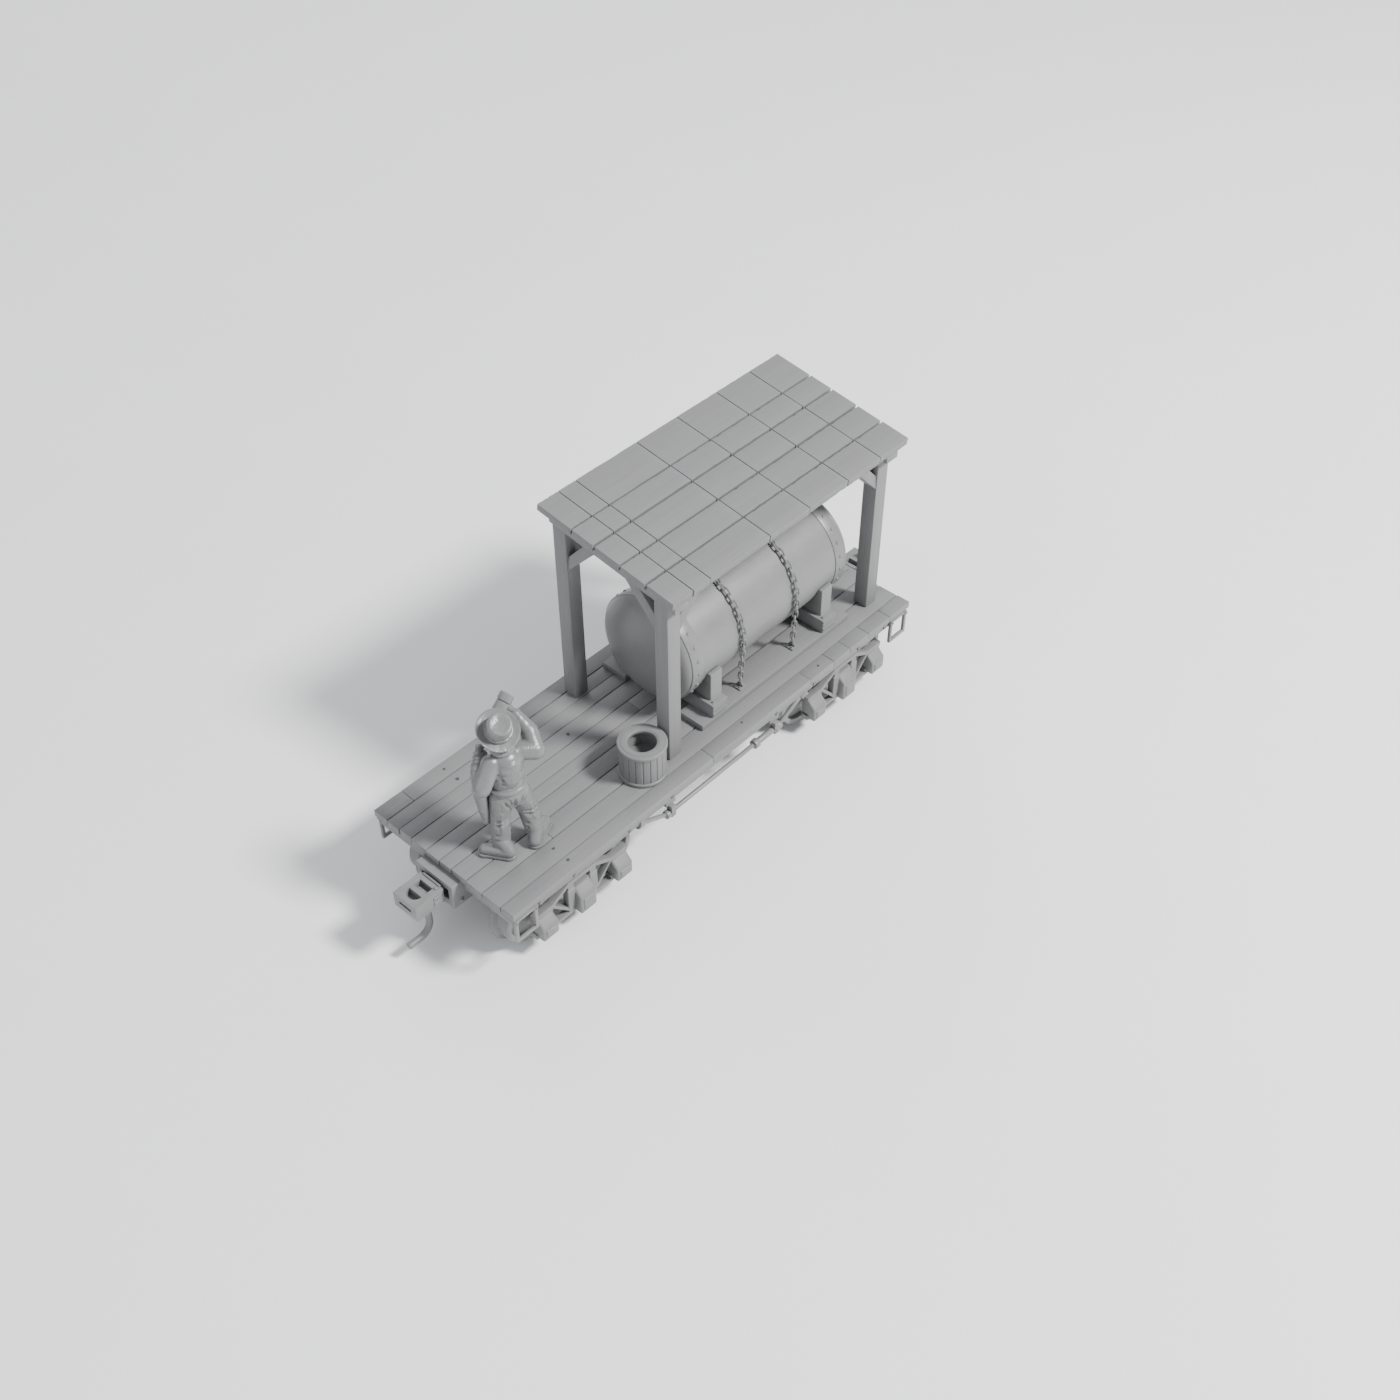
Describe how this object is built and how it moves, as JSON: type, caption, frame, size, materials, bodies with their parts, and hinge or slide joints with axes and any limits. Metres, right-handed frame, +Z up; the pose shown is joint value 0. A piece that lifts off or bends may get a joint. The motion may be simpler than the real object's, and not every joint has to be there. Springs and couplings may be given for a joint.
{
  "type": "model tank wagon",
  "caption": "Small timber flat wagon on bogies carrying a roofed horizontal tank, a staved tub and a standing figure; wheels spin, bogies swivel, couplers swing.",
  "frame": {"origin": "under the middle of the deck, level with the lowest point of the wheel flanges", "axes": "+X along the wagon from the open deck end to the tank end, +Y across it to the high side of the roof, +Z up"},
  "size_m": [0.1002, 0.028, 0.0489],
  "materials": {
    "timber_grey": "matt grey with fine timber grain",
    "metal_grey": "satin grey",
    "cast_grey": "satin grey",
    "figure_grey": "slightly glossy grey"
  },
  "bodies": {
    "wagon": {"deck_boards": "timber_grey", "side_sill_near": "timber_grey", "side_sill_far": "timber_grey", "end_sill_front": "timber_grey", "end_sill_rear": "timber_grey", "centre_sill_near": "timber_grey", "centre_sill_far": "timber_grey", "bogie_crossbeam_front": "timber_grey", "bogie_crossbeam_rear": "timber_grey", "needle_beam_front": "timber_grey", "needle_beam_rear": "timber_grey", "truss_rod_near": "metal_grey", "truss_rod_far": "metal_grey", "turnbuckles": "metal_grey", "step_irons": "metal_grey", "king_pins": "metal_grey", "draft_box_front": "cast_grey", "draft_box_rear": "cast_grey", "post_front_near": "timber_grey", "post_front_far": "timber_grey", "post_rear_near": "timber_grey", "post_rear_far": "timber_grey", "knee_braces": "timber_grey", "roof_rafters": "timber_grey", "roof_plates": "timber_grey", "roof_boards": "timber_grey", "tank_barrel": "metal_grey", "tank_end_front": "metal_grey", "tank_end_rear": "metal_grey", "tank_bands": "metal_grey", "tank_rivets": "metal_grey", "tank_skids": "timber_grey", "cradle_front": "timber_grey", "cradle_rear": "timber_grey", "chain_front": "metal_grey", "chain_rear": "metal_grey", "chain_staples": "metal_grey", "tub_staves": "timber_grey", "tub_lid": "timber_grey", "tub_hoop": "metal_grey", "figure_body": "figure_grey", "figure_hat": "figure_grey", "figure_flask": "figure_grey"},
    "bogie_front": {"bogie_bolster_front": "cast_grey", "side_frame_front_near": "cast_grey", "side_frame_front_far": "cast_grey"},
    "bogie_rear": {"bogie_bolster_rear": "cast_grey", "side_frame_rear_near": "cast_grey", "side_frame_rear_far": "cast_grey"},
    "coupler_unit_front": {"coupler_front": "cast_grey", "trip_pin_front": "metal_grey"},
    "coupler_unit_rear": {"coupler_rear": "cast_grey", "trip_pin_rear": "metal_grey"},
    "wheelset_unit_1": {"wheelset_1": "metal_grey"},
    "wheelset_unit_2": {"wheelset_2": "metal_grey"},
    "wheelset_unit_3": {"wheelset_3": "metal_grey"},
    "wheelset_unit_4": {"wheelset_4": "metal_grey"}
  },
  "joints": [
    {"name": "bogie_swivel_front", "type": "hinge", "parent": "wagon", "child": "bogie_front", "pos_m": [-0.0288, 0, 0.0097], "axis": [0, 0, 1], "range_deg": [-5, 5]},
    {"name": "bogie_swivel_rear", "type": "hinge", "parent": "wagon", "child": "bogie_rear", "pos_m": [0.0288, 0, 0.0097], "axis": [0, 0, 1], "range_deg": [-5, 5]},
    {"name": "coupler_swing_front", "type": "hinge", "parent": "wagon", "child": "coupler_unit_front", "pos_m": [-0.0406, 0, 0.0107], "axis": [0, 0, 1], "range_deg": [-7, 7]},
    {"name": "coupler_swing_rear", "type": "hinge", "parent": "wagon", "child": "coupler_unit_rear", "pos_m": [0.0406, 0, 0.0107], "axis": [0, 0, 1], "range_deg": [-7, 7]},
    {"name": "wheel_spin_1", "type": "hinge", "parent": "bogie_front", "child": "wheelset_unit_1", "pos_m": [-0.036, 0, 0.0056], "axis": [0, 1, 0], "continuous": true},
    {"name": "wheel_spin_2", "type": "hinge", "parent": "bogie_front", "child": "wheelset_unit_2", "pos_m": [-0.0216, 0, 0.0056], "axis": [0, 1, 0], "continuous": true},
    {"name": "wheel_spin_3", "type": "hinge", "parent": "bogie_rear", "child": "wheelset_unit_3", "pos_m": [0.0216, 0, 0.0056], "axis": [0, 1, 0], "continuous": true},
    {"name": "wheel_spin_4", "type": "hinge", "parent": "bogie_rear", "child": "wheelset_unit_4", "pos_m": [0.036, 0, 0.0056], "axis": [0, 1, 0], "continuous": true}
  ]
}
